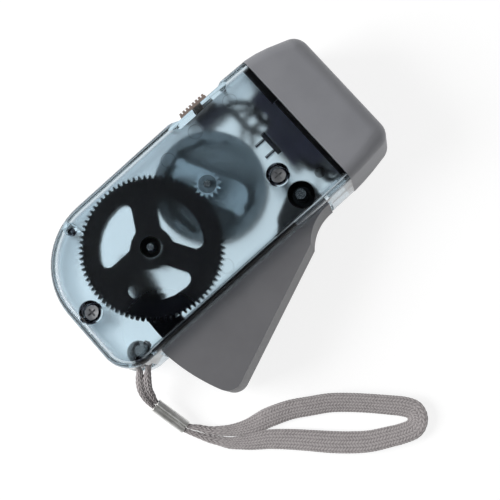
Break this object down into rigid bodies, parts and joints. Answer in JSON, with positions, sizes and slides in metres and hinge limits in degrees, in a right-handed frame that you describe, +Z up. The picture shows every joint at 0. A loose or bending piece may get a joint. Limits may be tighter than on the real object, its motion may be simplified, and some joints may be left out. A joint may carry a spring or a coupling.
{
  "type": "hand-press dynamo flashlight",
  "caption": "Hand-squeeze dynamo flashlight in a clear case: a sprung side lever drives a rack, gear train and flywheel generator; ribbed slide switch, lamp head and looped wrist strap.",
  "frame": {"origin": "on the flat back face, at mid length of the body and mid width of the case", "axes": "+X along the beam, +Y towards the switch side, -Y towards the lever side, +Z up from the back face"},
  "size_m": [0.1048, 0.1146, 0.029],
  "materials": {
    "clear_case": "clear, smoke tinted, polished",
    "head_grey": "satin moulded grey",
    "clear_lens": "clear, polished",
    "bright_coat": "bright metal coating",
    "lamp_resin": "clear resin",
    "board": "lacquered",
    "black_plastic": "satin moulded black",
    "cell_can": "bright",
    "contact_strip": "rolled strip",
    "switch_brown": "satin moulded brown grey",
    "lever_grey": "satin moulded grey",
    "gear_black": "satin moulded black",
    "steel": "turned, bright",
    "spring_wire": "drawn wire",
    "pawl_grey": "moulded light grey",
    "flywheel_metal": "cast, dark",
    "magnet": "sintered, dark",
    "pole_steel": "pressed sheet",
    "bobbin_plastic": "moulded natural",
    "winding": "enamelled copper wire",
    "strap_braid": "braided cord",
    "nickel": "nickel plated"
  },
  "bodies": {
    "case": {"upper_shell": "clear_case", "lower_shell": "clear_case", "head_cap": "head_grey", "lens": "clear_lens", "reflector": "bright_coat", "leds": "lamp_resin", "led_board": "board", "diodes": "black_plastic", "lamp_holder": "black_plastic", "storage_cell": "cell_can", "cell_contacts": "contact_strip", "switch_body": "black_plastic", "lever_pivot_pin": "steel", "return_spring": "spring_wire", "gear_axle": "steel", "rotor_axle": "steel", "stator_cup": "pole_steel", "stator_plate": "pole_steel", "coil_bobbin": "bobbin_plastic", "coil_winding": "winding", "case_screws": "steel", "wrist_strap": "strap_braid", "strap_ferrule": "nickel"},
    "squeeze_lever": {"lever": "lever_grey", "rack_sector": "gear_black", "rack_screws": "steel"},
    "gear": {"drive_gear": "gear_black"},
    "pinion": {"rotor_pinion": "pawl_grey"},
    "flywheel_rotor": {"flywheel": "flywheel_metal", "ring_magnet": "magnet"},
    "switch": {"switch_cap": "switch_brown"}
  },
  "joints": [
    {"name": "flywheel_spin", "type": "hinge", "parent": "case", "child": "flywheel_rotor", "pos_m": [0.00306, 0.00259, 0.0185], "axis": [0, 0, 1], "range_deg": [0, 1305.69]},
    {"name": "pinion_spin", "type": "hinge", "parent": "case", "child": "pinion", "pos_m": [0.00306, 0.00259, 0.023], "axis": [0, 0, 1], "range_deg": [0, 1305.7]},
    {"name": "gear_spin", "type": "hinge", "parent": "case", "child": "gear", "pos_m": [-0.0208, 0, 0.024], "axis": [0, 0, -1], "range_deg": [0, 222.93]},
    {"name": "lever_squeeze", "type": "hinge", "parent": "case", "child": "squeeze_lever", "pos_m": [0.0207, -0.0176, 0.0134], "axis": [0, 0, -1], "range_deg": [0, 19], "stiffness_Nm_per_rad": 0.25, "springref_deg": -34.38, "deforming": ["return_spring"]},
    {"name": "switch_slide", "type": "slide", "parent": "case", "child": "switch", "axis": [1, 0, 0], "range_m": [0, 0.003]}
  ],
  "couplings": [
    {"joint": "pinion_spin", "follows": "flywheel_spin", "ratio": 1},
    {"joint": "gear_spin", "follows": "flywheel_spin", "ratio": 0.17073},
    {"joint": "lever_squeeze", "follows": "flywheel_spin", "ratio": 0.014552}
  ]
}
